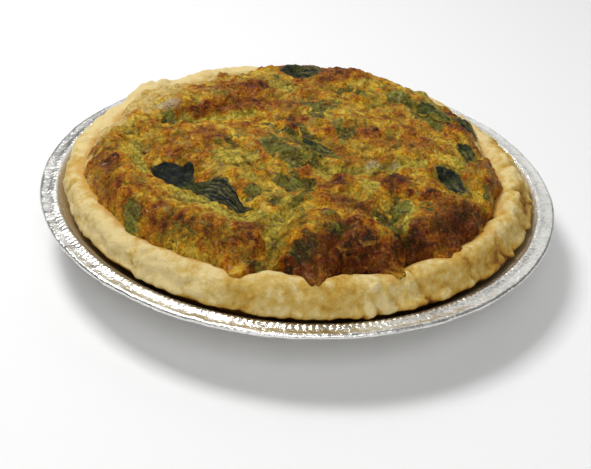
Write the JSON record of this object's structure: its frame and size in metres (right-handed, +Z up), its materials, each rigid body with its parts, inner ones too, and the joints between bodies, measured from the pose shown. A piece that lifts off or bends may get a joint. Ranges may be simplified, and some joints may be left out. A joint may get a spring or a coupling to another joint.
{
  "type": "quiche",
  "caption": "Whole baked spinach quiche with a domed, unevenly browned filling and a thick pale pastry rim, standing in its shallow fluted foil tin.",
  "frame": {"origin": "middle of the foil tin's base, on the surface it stands on", "axes": "+Z up, -Y towards the near side, where the filling is browned most and runs over the rim in tongues; +X to the right seen from there"},
  "size_m": [0.244, 0.244, 0.0555],
  "materials": {
    "foil": "bright, slightly crumpled foil",
    "crust": "matte baked pastry",
    "filling": "browned set egg, slightly oily",
    "leaf": "wilted spinach, slightly oily"
  },
  "bodies": {
    "root": {"foil_tin": "foil", "crust": "crust", "filling": "filling", "leaf_large": "leaf", "leaf_back": "leaf", "leaf_right": "leaf", "leaf_right_small": "leaf", "leaf_middle": "leaf", "leaf_back_right": "leaf", "leaf_far_right": "leaf"}
  },
  "joints": []
}
